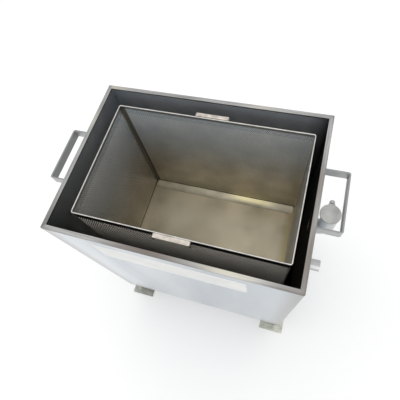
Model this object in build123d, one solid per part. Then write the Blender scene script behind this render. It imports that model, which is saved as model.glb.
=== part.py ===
"""Steam wax melter: an open stainless tank on legs, with a lift-out basket over a sloping wax tray.

Millimetres. +Z is up, +X points to the wall with the water filler and the wax outlet, +Y to the rear.
The origin is on the floor, at the middle of the overall length and depth.
Heights named "level" are above the floor.
"""

import os

from build123d import *

os.makedirs("parts", exist_ok=True)

# Tank, a folded sheet box with a flat bar on its top edge
TANK_LENGTH = 600.0  # outside, along X
TANK_DEPTH = 432.0  # outside, along Y
TANK_HEIGHT = 660.0  # underside of the base to the top of the rim
TANK_SHEET = 2.0
TANK_BEND = 3.0  # outside radius of the vertical corners
TANK_RETURN = 24.0  # how far the front and rear walls run round the corners
RIM_WIDTH = 11.0
RIM_THICKNESS = 4.0

# Rounded edges of rolled bar, strap and plate
BAR_EDGE_RADIUS = 0.8

# Legs and foot plates
GROUND_CLEARANCE = 130.0  # floor to the underside of the tank
LEG_WIDTH = 36.0  # square tube
LEG_WALL = 2.0
LEG_CORNER_RADIUS = 3.0  # outside corners of the tube
LEG_INSET_X = 6.0  # leg to the outside of the side wall
LEG_INSET_Y = 11.0  # leg to the outside of the front or rear wall
FOOT_PLATE_WIDTH = 88.0
FOOT_PLATE_THICKNESS = 5.0
FOOT_CORNER_RADIUS = 2.0

# Side handles, flat strap bent to a U
HANDLE_LENGTH = 150.0
HANDLE_REACH = 58.0  # wall to the outside of the grip
HANDLE_OFFSET_RIGHT = 10.0  # middle of the tank to the middle of the handle, to the rear
HANDLE_OFFSET_LEFT = -4.0
HANDLE_STRAP_WIDTH = 25.0
HANDLE_STRAP_THICKNESS = 4.0
HANDLE_BEND = 5.5  # outside radius
HANDLE_DROP = 25.0  # top of the rim to the top of the strap

# Water filler, an elbow pipe with a swivelling lid
FILLER_DIAMETER = 40.0
FILLER_WALL = 1.5
FILLER_REACH = 38.0  # wall to the axis of the upright neck
FILLER_BEND = 30.0  # radius of the pipe's centre line
FILLER_NECK_HEIGHT = 89.0  # axis of the level leg to the top of the neck
FILLER_DROP = 85.0  # top of the rim to the top of the neck
LID_DIAMETER = 49.0
LID_THICKNESS = 3.0
LID_EDGE_RADIUS = 0.8
LID_SETBACK = 3.0  # axis of the neck to the axis of the lid, towards the wall
LID_GAP = 0.3  # neck to the underside of the lid
EAR_DISTANCE = 30.5  # axis of the lid to the axis of the rivet
EAR_RADIUS = 6.0
EAR_FLANK_RADIUS = 9.0  # hollow flanks between the ear and the round of the lid
RIVET_DIAMETER = 5.0
RIVET_HEAD_DIAMETER = 9.0
RIVET_HEAD_HEIGHT = 2.2
RIVET_HEAD_RADIUS = 1.5
RIVET_RUNNING_CLEARANCE = 0.05  # rivet to the hole in the ear, on the radius
RIVET_HEAD_GAP = 0.3  # lid to the underside of the head
WASHER_DIAMETER = 11.0
WASHER_THICKNESS = 1.0
LUG_HEIGHT = 22.0
LUG_WEB = 7.0

# Wax outlet and wax tray
OUTLET_DIAMETER = 40.0
OUTLET_WALL = 1.5
OUTLET_REACH = 88.0  # wall to the end of the tube
OUTLET_HEIGHT = 130.0  # underside of the tank to the axis of the tube
TRAY_SHEET = 1.5
TRAY_STEAM_GAP = 26.0  # tray to the front, rear and left walls
TRAY_WATER_GAP = 20.0  # tray to the right wall, below the filler
TRAY_FALL = 40.0  # drop of the floor from the left end to the outlet
TRAY_LIP = 2.0  # floor at the low end to the underside of the outlet tube
TRAY_FREEBOARD = 22.0  # top of the outlet tube to the level top edge of the tray
TRAY_SUPPORT_INSET = 85.0  # end of the tray to the middle of the support
TRAY_SUPPORT_HEIGHT = 25.0
TRAY_SUPPORT_THICKNESS = 6.0

# Basket, perforated sheet hung on a round rim wire
BASKET_GAP_LEFT = 43.5  # tank wall to the basket, which stands loose and a little off the middle
BASKET_GAP_RIGHT = 30.5
BASKET_GAP_FRONT = 55.5
BASKET_GAP_REAR = 47.5
BASKET_SHEET = 1.0
BASKET_BEND = 5.0  # outside radius of the vertical corners
BASKET_RETURN = 24.0
BASKET_WIRE_DIAMETER = 4.0
BASKET_SINK = 18.0  # top of the tank's rim to the centre of the rim wire
BASKET_BAR_WIDTH = 20.0  # square bars that the basket stands on
BASKET_BAR_INSET = 101.0  # end of the basket to the middle of the bar
BASKET_BAR_GAP = 16.0  # top edge of the tray to the underside of the bars

# Basket handles, flat strap with its ends bent down
BASKET_HANDLE_LENGTH = 92.0
BASKET_HANDLE_REACH = 13.0  # sheet to the outside of the strap
BASKET_HANDLE_OFFSET = 2.5  # middle of the basket to the middle of the front handle, to the left
BASKET_HANDLE_THICKNESS = 3.0
BASKET_HANDLE_LEG = 22.0  # height of the bent ends
BASKET_HANDLE_BEND = 4.5  # outside radius
BASKET_HANDLE_GAP = 0.3  # rim wire to the edge of the strap that is cut back for it

# Levels and faces that several pieces share
base_level = GROUND_CLEARANCE
rim_level = GROUND_CLEARANCE + TANK_HEIGHT
wall_top_level = rim_level - RIM_THICKNESS
wall_x = TANK_LENGTH / 2
inner_x = wall_x - TANK_SHEET
inner_y = TANK_DEPTH / 2 - TANK_SHEET

neck_x = wall_x + FILLER_REACH
lid_x = neck_x - LID_SETBACK
neck_level = rim_level - FILLER_DROP
filler_axis_level = neck_level - FILLER_NECK_HEIGHT
filler_bore_radius = FILLER_DIAMETER / 2 - FILLER_WALL
lid_level = neck_level + LID_GAP
lug_level = lid_level - WASHER_THICKNESS
rivet_head_level = lid_level + LID_THICKNESS + RIVET_HEAD_GAP

outlet_level = base_level + OUTLET_HEIGHT
outlet_bore_radius = OUTLET_DIAMETER / 2 - OUTLET_WALL
tray_left = -inner_x + TRAY_STEAM_GAP
tray_right = inner_x - TRAY_WATER_GAP
tray_half_depth = inner_y - TRAY_STEAM_GAP
tray_low_level = outlet_level - OUTLET_DIAMETER / 2 - TRAY_LIP
tray_top_level = outlet_level + OUTLET_DIAMETER / 2 + TRAY_FREEBOARD
tray_slope = TRAY_FALL / (tray_right - tray_left)

basket_left = -inner_x + BASKET_GAP_LEFT
basket_right = inner_x - BASKET_GAP_RIGHT
basket_front = -inner_y + BASKET_GAP_FRONT
basket_rear = inner_y - BASKET_GAP_REAR
basket_length = basket_right - basket_left
basket_width = basket_rear - basket_front
basket_middle_x = (basket_left + basket_right) / 2
basket_middle_y = (basket_front + basket_rear) / 2
wire_level = rim_level - BASKET_SINK
basket_under_level = tray_top_level + BASKET_BAR_GAP + BASKET_BAR_WIDTH
basket_floor_level = basket_under_level + BASKET_SHEET

# The tank stands off the origin along X, because the outlet reaches further than the left handle
frame_shift_x = (HANDLE_REACH - OUTLET_REACH) / 2


def block(x_span, y_span, z_span):
    """A box between two values along each axis."""
    sizes = [high - low for low, high in (x_span, y_span, z_span)]
    low_corner = Pos(x_span[0], y_span[0], z_span[0])
    return low_corner * Box(*sizes, align=(Align.MIN, Align.MIN, Align.MIN))


def upright_cylinder(x, y, radius, z_low, z_high):
    """A cylinder along Z between two levels."""
    solid = Cylinder(radius, z_high - z_low, align=(Align.CENTER, Align.CENTER, Align.MIN))
    return Pos(x, y, z_low) * solid


def cylinder_along_x(x_low, x_high, level, radius):
    """A cylinder along X at y = 0."""
    start = Plane((x_low, 0, level), z_dir=(1, 0, 0))
    return extrude(start * Circle(radius), x_high - x_low)


def prism_along_y(points, y_low, y_high):
    """An outline in X and Z, extruded along Y."""
    outline = make_face(Polyline(*[(x, y_low, z) for x, z in points], close=True))
    return extrude(outline, y_high - y_low, dir=(0, 1, 0))


def rounded_slab(length, depth, radius, z_low, z_high):
    """A plate with rounded corners, centred on the Z axis."""
    return extrude(Pos(0, 0, z_low) * RectangleRounded(length, depth, radius), z_high - z_low)


def folded_sheets(length, depth, bend, sheet, turn, z_low, z_high):
    """The four sheets of an upright box: front and rear bent round the corners, the others flat between."""
    outside = rounded_slab(length, depth, bend, z_low, z_high)
    inside = rounded_slab(length - 2 * sheet, depth - 2 * sheet, bend - sheet, z_low, z_high)
    ring = outside - inside
    seam_y = depth / 2 - turn
    full_x = (-length / 2, length / 2)
    levels = (z_low, z_high)
    return {
        "front": ring & block(full_x, (-depth / 2, -seam_y), levels),
        "rear": ring & block(full_x, (seam_y, depth / 2), levels),
        "left": ring & block((-length / 2, 0), (-seam_y, seam_y), levels),
        "right": ring & block((0, length / 2), (-seam_y, seam_y), levels),
    }


def tank_walls():
    """Front, rear, left and right walls; the right one has the filler and outlet holes."""
    walls = folded_sheets(
        TANK_LENGTH, TANK_DEPTH, TANK_BEND, TANK_SHEET, TANK_RETURN, base_level, wall_top_level
    )
    filler_hole = cylinder_along_x(inner_x, wall_x, filler_axis_level, filler_bore_radius)
    outlet_hole = cylinder_along_x(inner_x, wall_x, outlet_level, OUTLET_DIAMETER / 2)
    walls["right"] = walls["right"] - filler_hole - outlet_hole
    return {f"tank_{side}_wall": wall for side, wall in walls.items()}


def tank_base():
    """Base plate inside the foot of the walls."""
    return rounded_slab(
        2 * inner_x, 2 * inner_y, TANK_BEND - TANK_SHEET, base_level, base_level + TANK_SHEET
    )


def rim_bars():
    """Four flat bars on the top edge of the walls, mitred at the corners."""
    outside = rounded_slab(TANK_LENGTH, TANK_DEPTH, TANK_BEND, wall_top_level, rim_level)
    opening_x = wall_x - RIM_WIDTH
    opening_y = TANK_DEPTH / 2 - RIM_WIDTH
    opening = block((-opening_x, opening_x), (-opening_y, opening_y), (wall_top_level, rim_level))
    ring = outside - opening
    ring = fillet(ring.faces().sort_by(Axis.Z)[-1].edges(), BAR_EDGE_RADIUS)
    half_x = wall_x
    half_y = TANK_DEPTH / 2
    mitre = 2 * RIM_WIDTH
    corners = [(-half_x, -half_y), (half_x, -half_y), (half_x, half_y), (-half_x, half_y)]
    inside = [
        (-half_x + mitre, -half_y + mitre),
        (half_x - mitre, -half_y + mitre),
        (half_x - mitre, half_y - mitre),
        (-half_x + mitre, half_y - mitre),
    ]
    bars = {}
    for index, side in enumerate(("front", "right", "rear", "left")):
        after = (index + 1) % 4
        plan = Polygon(corners[index], corners[after], inside[after], inside[index], align=None)
        sector = extrude(Pos(0, 0, wall_top_level) * plan, RIM_THICKNESS)
        bars[f"rim_{side}_bar"] = ring & sector
    return bars


def legs_and_feet():
    """A square tube leg on a foot plate under each corner."""
    leg_x = wall_x - LEG_INSET_X - LEG_WIDTH / 2
    leg_y = TANK_DEPTH / 2 - LEG_INSET_Y - LEG_WIDTH / 2
    bore = LEG_WIDTH - 2 * LEG_WALL
    tube = RectangleRounded(LEG_WIDTH, LEG_WIDTH, LEG_CORNER_RADIUS)
    tube = tube - RectangleRounded(bore, bore, LEG_CORNER_RADIUS - LEG_WALL)
    plate = RectangleRounded(FOOT_PLATE_WIDTH, FOOT_PLATE_WIDTH, FOOT_CORNER_RADIUS)
    plate = extrude(plate, FOOT_PLATE_THICKNESS)
    plate = fillet(plate.faces().sort_by(Axis.Z)[-1].edges(), BAR_EDGE_RADIUS)
    pieces = {}
    for end, y in (("front", -leg_y), ("rear", leg_y)):
        for side, x in (("left", -leg_x), ("right", leg_x)):
            place = Pos(x, y, 0)
            pieces[f"{end}_{side}_foot_plate"] = place * plate
            leg = Pos(0, 0, FOOT_PLATE_THICKNESS) * extrude(tube, GROUND_CLEARANCE - FOOT_PLATE_THICKNESS)
            pieces[f"{end}_{side}_leg"] = place * leg
    return pieces


def u_profile(length, reach, thickness, bend):
    """A strap bent to a U: open at x = 0, its grip at x = reach."""
    outside = Pos(reach / 2, 0) * Rectangle(reach, length)
    outside = fillet(outside.vertices().sort_by(Axis.X)[-2:], bend)
    inside = Pos((reach - thickness) / 2, 0) * Rectangle(reach - thickness, length - 2 * thickness)
    inside = fillet(inside.vertices().sort_by(Axis.X)[-2:], bend - thickness)
    return outside - inside


def rounded_strap(profile, width):
    """A bent strap with its long edges rounded; its ends at x = 0 stay square."""
    strap = extrude(profile, width)
    sides = strap.faces().sort_by(Axis.Z)
    long_edges = [edge for side in (sides[0], sides[-1]) for edge in side.edges() if edge.center().X > 0]
    return fillet(long_edges, BAR_EDGE_RADIUS)


def side_handles():
    """A U-shaped strap handle on the left wall and one on the right wall."""
    profile = u_profile(HANDLE_LENGTH, HANDLE_REACH, HANDLE_STRAP_THICKNESS, HANDLE_BEND)
    strap = rounded_strap(profile, HANDLE_STRAP_WIDTH)
    foot = rim_level - HANDLE_DROP - HANDLE_STRAP_WIDTH
    return {
        "right_handle": Pos(wall_x, HANDLE_OFFSET_RIGHT, foot) * strap,
        "left_handle": Pos(-wall_x, HANDLE_OFFSET_LEFT, foot) * mirror(strap, Plane.YZ),
    }


def filler_elbow():
    """Pipe from the right wall, bent up to the neck."""
    path = FilletPolyline(
        (wall_x, 0, filler_axis_level),
        (neck_x, 0, filler_axis_level),
        (neck_x, 0, neck_level),
        radius=FILLER_BEND,
    )
    start = Plane((wall_x, 0, filler_axis_level), z_dir=(1, 0, 0))
    outside = sweep(start * Circle(FILLER_DIAMETER / 2), path=path)
    inside = sweep(start * Circle(filler_bore_radius), path=path)
    return outside - inside


def lid_pivot_lug():
    """Boss on a web behind the neck, bored for the rivet."""
    foot = neck_level - LUG_HEIGHT
    boss = upright_cylinder(lid_x, EAR_DISTANCE, EAR_RADIUS, foot, lug_level)
    web = block((lid_x - LUG_WEB / 2, lid_x + LUG_WEB / 2), (0, EAR_DISTANCE), (foot, lug_level))
    neck = upright_cylinder(neck_x, 0, FILLER_DIAMETER / 2, foot, lug_level)
    bore = upright_cylinder(lid_x, EAR_DISTANCE, RIVET_DIAMETER / 2, foot, lug_level)
    return boss + web - neck - bore


def lid_pivot_washer():
    """Washer between the lug and the ear of the lid."""
    outside = upright_cylinder(lid_x, EAR_DISTANCE, WASHER_DIAMETER / 2, lug_level, lid_level)
    bore = upright_cylinder(lid_x, EAR_DISTANCE, RIVET_DIAMETER / 2, lug_level, lid_level)
    return outside - bore


def lid_pivot_rivet():
    """Rivet through the ear, the washer and the lug."""
    foot = neck_level - LUG_HEIGHT
    shank = upright_cylinder(lid_x, EAR_DISTANCE, RIVET_DIAMETER / 2, foot, rivet_head_level)
    head_top = rivet_head_level + RIVET_HEAD_HEIGHT
    head = upright_cylinder(lid_x, EAR_DISTANCE, RIVET_HEAD_DIAMETER / 2, rivet_head_level, head_top)
    head = fillet(head.edges().sort_by(Axis.Z)[-1], RIVET_HEAD_RADIUS)
    return shank + head


def filler_lid():
    """Round lid with an ear that swivels on the rivet."""
    ear = Pos(0, EAR_DISTANCE / 2) * Rectangle(2 * EAR_RADIUS, EAR_DISTANCE)
    ear = ear + Pos(0, EAR_DISTANCE) * Circle(EAR_RADIUS)
    plan = Circle(LID_DIAMETER / 2) + ear
    ear_roots = plan.vertices().group_by(Axis.Y)[0]
    plan = fillet(ear_roots, EAR_FLANK_RADIUS)
    lid = extrude(Pos(lid_x, 0, lid_level) * plan, LID_THICKNESS)
    lid = fillet(lid.faces().sort_by(Axis.Z)[-1].edges(), LID_EDGE_RADIUS)
    hole_radius = RIVET_DIAMETER / 2 + RIVET_RUNNING_CLEARANCE
    return lid - upright_cylinder(lid_x, EAR_DISTANCE, hole_radius, lid_level, lid_level + LID_THICKNESS)


def outlet_tube():
    """Plain tube from the low end of the tray, through the right wall."""
    inner_end = tray_right - TRAY_SHEET
    outer_end = wall_x + OUTLET_REACH
    outside = cylinder_along_x(inner_end, outer_end, outlet_level, OUTLET_DIAMETER / 2)
    return outside - cylinder_along_x(inner_end, outer_end, outlet_level, outlet_bore_radius)


def tray_floor_level(x):
    """Top of the sloping tray floor at x."""
    return tray_low_level + (tray_right - x) * tray_slope


def tray_sheet(x_low, x_high, top_left, top_right, y_low, y_high):
    """A sheet of the tray: its underside follows the slope, its top runs between two levels."""
    outline = [
        (x_low, tray_floor_level(x_low) - TRAY_SHEET),
        (x_high, tray_floor_level(x_high) - TRAY_SHEET),
        (x_high, top_right),
        (x_low, top_left),
    ]
    return prism_along_y(outline, y_low, y_high)


def wax_tray():
    """A floor that falls to the outlet tube, between four walls with a level top edge."""
    floor_left = tray_left + TRAY_SHEET
    floor_right = tray_right - TRAY_SHEET
    half_floor = tray_half_depth - TRAY_SHEET
    top = tray_top_level
    floor_top_left = tray_floor_level(floor_left)
    floor_top_right = tray_floor_level(floor_right)
    right_wall = tray_sheet(floor_right, tray_right, top, top, -tray_half_depth, tray_half_depth)
    outlet_hole = cylinder_along_x(floor_right, tray_right, outlet_level, OUTLET_DIAMETER / 2)
    return {
        "tray_floor": tray_sheet(
            floor_left, floor_right, floor_top_left, floor_top_right, -half_floor, half_floor
        ),
        "tray_front_wall": tray_sheet(floor_left, floor_right, top, top, -tray_half_depth, -half_floor),
        "tray_rear_wall": tray_sheet(floor_left, floor_right, top, top, half_floor, tray_half_depth),
        "tray_left_wall": tray_sheet(tray_left, floor_left, top, top, -tray_half_depth, tray_half_depth),
        "tray_right_wall": right_wall - outlet_hole,
    }


def tray_supports():
    """Two flat bars on edge across the tank, cut to the slope of the tray."""
    middles = {"left": tray_left + TRAY_SUPPORT_INSET, "right": tray_right - TRAY_SUPPORT_INSET}
    bars = {}
    for side, middle in middles.items():
        low_x = middle - TRAY_SUPPORT_THICKNESS / 2
        high_x = low_x + TRAY_SUPPORT_THICKNESS
        low_top = tray_floor_level(low_x) - TRAY_SHEET
        high_top = tray_floor_level(high_x) - TRAY_SHEET
        foot = high_top - TRAY_SUPPORT_HEIGHT
        outline = [(low_x, foot), (high_x, foot), (high_x, high_top), (low_x, low_top)]
        bars[f"tray_support_{side}"] = prism_along_y(outline, -inner_y, inner_y)
    return bars


def basket_bars():
    """Two square bars across the tank that the basket stands on."""
    middles = {"left": basket_left + BASKET_BAR_INSET, "right": basket_right - BASKET_BAR_INSET}
    bars = {}
    for side, middle in middles.items():
        x_span = (middle - BASKET_BAR_WIDTH / 2, middle + BASKET_BAR_WIDTH / 2)
        z_span = (basket_under_level - BASKET_BAR_WIDTH, basket_under_level)
        bars[f"basket_bar_{side}"] = block(x_span, (-inner_y, inner_y), z_span)
    return bars


def basket():
    """Four sheets, the floor and the rim wire that the top edge of the sheets is let into."""
    place = Pos(basket_middle_x, basket_middle_y, 0)
    sheets = folded_sheets(
        basket_length, basket_width, BASKET_BEND, BASKET_SHEET, BASKET_RETURN, basket_under_level, wire_level
    )
    pieces = {f"basket_{side}_sheet": place * sheet for side, sheet in sheets.items()}

    floor = rounded_slab(
        basket_length - 2 * BASKET_SHEET,
        basket_width - 2 * BASKET_SHEET,
        BASKET_BEND - BASKET_SHEET,
        basket_under_level,
        basket_floor_level,
    )
    pieces["basket_floor"] = place * floor

    wire_path = RectangleRounded(
        basket_length - BASKET_SHEET, basket_width - BASKET_SHEET, BASKET_BEND - BASKET_SHEET / 2
    )
    wire_path = Pos(0, 0, wire_level) * wire_path.wire()
    section = Plane(wire_path @ 0, z_dir=wire_path % 0) * Circle(BASKET_WIRE_DIAMETER / 2)
    wire = sweep(section, path=wire_path)
    for sheet in sheets.values():
        wire = wire - sheet
    pieces["basket_rim_wire"] = place * wire
    return pieces


def basket_handles():
    """A strap level with the top of the rim wire, its ends bent down against the front or rear sheet."""
    profile = u_profile(
        BASKET_HANDLE_LENGTH, BASKET_HANDLE_LEG, BASKET_HANDLE_THICKNESS, BASKET_HANDLE_BEND
    )
    top = wire_level + BASKET_WIRE_DIAMETER / 2
    upright = Plane((basket_middle_x, 0, top - BASKET_HANDLE_LEG), x_dir=(0, 0, 1), z_dir=(0, 1, 0))
    strap = upright * rounded_strap(profile, BASKET_HANDLE_REACH)

    wire_side = (BASKET_WIRE_DIAMETER - BASKET_SHEET) / 2
    wire_under = wire_level - BASKET_WIRE_DIAMETER / 2
    wire_room = block(
        (basket_middle_x - BASKET_HANDLE_LENGTH, basket_middle_x + BASKET_HANDLE_LENGTH),
        (-BASKET_SHEET, wire_side + BASKET_HANDLE_GAP),
        (wire_under - BASKET_HANDLE_GAP, top + BASKET_HANDLE_THICKNESS),
    )
    handle = strap - wire_room
    return {
        "basket_front_handle": Pos(-BASKET_HANDLE_OFFSET, basket_front, 0) * mirror(handle, Plane.XZ),
        "basket_rear_handle": Pos(0, basket_rear, 0) * handle,
    }


pieces = {
    **tank_walls(),
    "tank_base": tank_base(),
    **rim_bars(),
    **legs_and_feet(),
    **side_handles(),
    "filler_elbow": filler_elbow(),
    "lid_pivot_lug": lid_pivot_lug(),
    "lid_pivot_washer": lid_pivot_washer(),
    "lid_pivot_rivet": lid_pivot_rivet(),
    "filler_lid": filler_lid(),
    "outlet_tube": outlet_tube(),
    **wax_tray(),
    **tray_supports(),
    **basket_bars(),
    **basket(),
    **basket_handles(),
}

for name, piece in pieces.items():
    export_step(Pos(frame_shift_x, 0, 0) * piece, f"parts/{name}.step")
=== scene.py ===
"""Steam wax melter: the stainless tank, its lift-out basket and its fittings, on a pale studio floor.

Metres, in the model's own frame: +X towards the wall with the filler and the outlet, +Y to the rear
and +Z up.
"""

import math

import bpy
from mathutils import Matrix, Vector


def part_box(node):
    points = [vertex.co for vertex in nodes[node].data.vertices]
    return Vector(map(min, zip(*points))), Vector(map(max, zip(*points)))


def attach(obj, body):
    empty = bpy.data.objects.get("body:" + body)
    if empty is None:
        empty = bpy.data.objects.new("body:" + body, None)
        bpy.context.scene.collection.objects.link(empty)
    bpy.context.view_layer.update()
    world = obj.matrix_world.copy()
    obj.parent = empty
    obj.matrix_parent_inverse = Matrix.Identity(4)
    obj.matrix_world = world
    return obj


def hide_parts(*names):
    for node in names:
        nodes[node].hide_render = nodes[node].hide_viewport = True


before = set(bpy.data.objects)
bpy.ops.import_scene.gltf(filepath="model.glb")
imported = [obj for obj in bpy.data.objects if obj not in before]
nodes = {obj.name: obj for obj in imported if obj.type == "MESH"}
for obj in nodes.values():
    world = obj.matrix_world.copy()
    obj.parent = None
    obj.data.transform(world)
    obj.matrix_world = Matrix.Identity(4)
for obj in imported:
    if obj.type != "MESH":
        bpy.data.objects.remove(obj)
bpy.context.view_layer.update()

MM = 0.001

# Camera, at the photograph's viewing angle; the image is square
CAMERA_PLACE = Vector((0.2085, -0.3489, 1.4803))
CAMERA_TARGET = Vector((-0.0464, 0.0564, 0.4900))
CAMERA_ROLL = math.radians(-17.71)
CAMERA_LENS = 30.83
CAMERA_SENSOR = 36.0

# Studio
WORLD_STRENGTH = 0.9
FLOOR_GLOW = 0.2
LAMP_PLACE = (-0.3, 0.3, 3.2)
LAMP_SIZE = 4.0
LAMP_POWER = 38.0
LAMP_TARGET = (0, 0, 0.6)
FLOOR_HALF = 8.0

# Meshes
SMOOTH_ANGLE = 35  # in degrees; a sharper edge stays sharp
BEND_STEPS = 6

# Finishes
WALL_ZONE = 4.0 * MM  # what lies this near to the outside of a wall belongs to that wall

# Perforated basket sheet: round holes in staggered rows, drawn with six sides
SHEET = 1.0 * MM
HOLE_PITCH = 5.8 * MM  # coarser than the common 5 mm, which is too fine to draw
HOLE_RADIUS = 1.7 * MM
WAXED_HOLE_RADIUS = 0.8 * MM  # in the floor, where wax has narrowed the holes
PLAIN_TOP = 9.0 * MM  # plain strip below the rim wire
EAVES = 26.0 * MM  # strip of painted shadow below the rim wire, on the outside
PLAIN_FOOT = 14.0 * MM
PLAIN_SEAM = 1.5 * MM
PLAIN_BEND = 8.0 * MM  # plain end of the rear sheet, beside its left bend
BASKET_BEND = 5.0 * MM
BASKET_RETURN = 24.0 * MM
REAR_FLANGE = 28.0 * MM  # foot of the rear sheet, turned in over the floor
FLANGE_RISE = 7.0 * MM  # from the floor to the flange's rear edge
FLANGE_GAP = 1.5 * MM  # from the walls, which have their bends there

# Bare white film on the middle of the front wall
FILM_LENGTH = 370.0 * MM
FILM_HEIGHT = 104.0 * MM
FILM_DROP = 36.0 * MM  # from the top of the rim
FILM_CORNER = 5.0 * MM
FILM_THICKNESS = 0.2 * MM

# Weld beads, with ripples of even length and a slower drift in thickness
BEAD_RADIUS = 1.7 * MM
STRAP_BEAD_RADIUS = 1.4 * MM
BEAD_SIDES = 10
BEAD_STEP = 0.9 * MM
BEAD_SMOOTH_ANGLE = 60
UPRIGHT_SHARE = 0.9  # a run that rises by this share of its length counts as upright
RIPPLE_LENGTH = 3.2 * MM
RIPPLE_SHARE = 0.10
DRIFT_RATE = 2.3
DRIFT_SHARE = 0.05
RING_STEPS = 72
FOOT_BEAD_RISE = 0.4 * MM
TANK_BEAD_DROP = 0.6 * MM
LEG_CORNER = 3.0 * MM
LEG_CORNER_STEPS = 4
STRAP = 4.0 * MM  # thickness of the side handles

# Smudges of old wax on the basket's floor: place from the middle of the floor, reach and strength
RAGGED_EDGE = 50.0 * MM
FLOOR_SMUDGES = (
    (140 * MM, 126 * MM, 95 * MM, 0.65),
    (-225 * MM, 82 * MM, 45 * MM, 0.5),
    (-5 * MM, 122 * MM, 70 * MM, 0.5),
    (-190 * MM, -50 * MM, 90 * MM, 0.8),
    (-60 * MM, -70 * MM, 130 * MM, 0.9),
    (160 * MM, -60 * MM, 80 * MM, 0.7),
    (235 * MM, 75 * MM, 40 * MM, 0.5),
    (118 * MM, 42 * MM, 35 * MM, 0.4),
)

# Heat tint on the rim bars: its middle and its reach along the bar, its strength and its colour
STRAW_TINT = "#BCB8AA"
BROWN_TINT = "#67605A"
GREY_TINT = "#6C6C69"
RIM_HEAT = (
    (
        "front",
        "X",
        (
            (147 * MM, 105 * MM, 0.65, STRAW_TINT),
            (-32 * MM, 165 * MM, 0.9, BROWN_TINT),
            (300 * MM, 110 * MM, 0.5, BROWN_TINT),
        ),
    ),
    (
        "rear",
        "X",
        (
            (-278 * MM, 60 * MM, 0.55, STRAW_TINT),
            (-85 * MM, 100 * MM, 0.35, GREY_TINT),
            (125 * MM, 70 * MM, 0.3, STRAW_TINT),
        ),
    ),
    ("left", "Y", ((-200 * MM, 125 * MM, 1.0, GREY_TINT), (100 * MM, 50 * MM, 0.35, STRAW_TINT))),
    ("right", "Y", ((-145 * MM, 160 * MM, 0.8, BROWN_TINT), (30 * MM, 130 * MM, 0.6, BROWN_TINT))),
)


def hex_colour(code):
    """An sRGB hex value as a linear colour."""
    channels = [int(code[i : i + 2], 16) / 255 for i in (1, 3, 5)]
    linear = [c / 12.92 if c <= 0.04045 else ((c + 0.055) / 1.055) ** 2.4 for c in channels]
    return (*linear, 1.0)


def per_mm(size):
    """The texture scale at which a pattern's features are about this many millimetres."""
    return 1000.0 / size


def add(tree, kind, inputs=None, stops=(), **settings):
    """A shader node with its settings, its colour stops and its links.

    An input is a value, another node, which gives its first output in use, or one output of a node.
    """
    node = tree.nodes.new("ShaderNode" + kind)
    for name, value in settings.items():
        setattr(node, name, value)
    for element, (position, code) in zip(node.color_ramp.elements if stops else (), stops):
        element.position = position
        element.color = hex_colour(code)
    for socket, value in (inputs or {}).items():
        if isinstance(value, bpy.types.Node):
            value = next(output for output in value.outputs if output.enabled)
        if isinstance(value, bpy.types.NodeSocket):
            tree.links.new(value, node.inputs[socket])
        else:
            node.inputs[socket].default_value = value
    return node


def new_material(name):
    """An empty material and its tree."""
    material = bpy.data.materials.new(name)
    material.use_nodes = True
    material.node_tree.nodes.clear()
    return material, material.node_tree


def shade_metal(tree, colour, roughness, normal, metallic=1.0):
    """The metal's shader, from its colour, its roughness and its relief."""
    surface = add(
        tree,
        "BsdfPrincipled",
        {"Base Color": colour, "Roughness": roughness, "Normal": normal, "Metallic": metallic},
    )
    add(tree, "OutputMaterial", {"Surface": surface})


def finish_metal(tree, colour, grain, sheen, relief, metallic=1.0):
    """The metal's shader, where one grain gives its relief and its roughness, between two values."""
    smooth, matt = sheen
    roughness = add(
        tree,
        "MapRange",
        {"Value": grain, "From Min": 0.3, "From Max": 0.7, "To Min": smooth, "To Max": matt},
    )
    normal = add(tree, "Bump", {"Height": grain, "Distance": relief})
    shade_metal(tree, colour, roughness, normal, metallic)


def clouded_metal(name, cloud_mm, shades, sheen, relief, metallic=1.0, detail=3.0):
    """A metal whose shade, roughness and relief change together in soft clouds of one size."""
    material, tree = new_material(name)
    point = add(tree, "TexCoord").outputs["Object"]
    cloud = add(tree, "TexNoise", {"Vector": point, "Scale": per_mm(cloud_mm), "Detail": detail})
    light, dark = shades
    colour = add(tree, "ValToRGB", {"Fac": cloud}, stops=((0.3, light), (0.7, dark)))
    finish_metal(tree, colour, cloud, sheen, relief, metallic)
    return material


def distance_from(tree, place, middle):
    """How far a place along one axis is from a middle, to either side."""
    offset = add(tree, "Math", {0: place, 1: middle}, operation="SUBTRACT")
    return add(tree, "Math", {0: offset}, operation="ABSOLUTE")


def seen_directly(tree):
    """1 on the rays that show a thing to the eye or in the metal, 0 on those that carry its light."""
    path = add(tree, "LightPath")
    seen = 0.0
    for ray in ("Is Camera Ray", "Is Glossy Ray", "Is Transmission Ray"):
        seen = add(tree, "Math", {0: path.outputs[ray], 1: seen}, operation="MAXIMUM")
    return seen


def faces_inwards(tree, coords, centre):
    """1 on the faces that look towards a point, 0 on the others."""
    outwards = add(tree, "VectorMath", {0: coords.outputs["Object"], 1: centre}, operation="SUBTRACT")
    facing = add(tree, "VectorMath", {0: outwards, 1: coords.outputs["Normal"]}, operation="DOT_PRODUCT")
    return add(tree, "Math", {0: facing.outputs["Value"], 1: 0.0}, operation="LESS_THAN")


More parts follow.
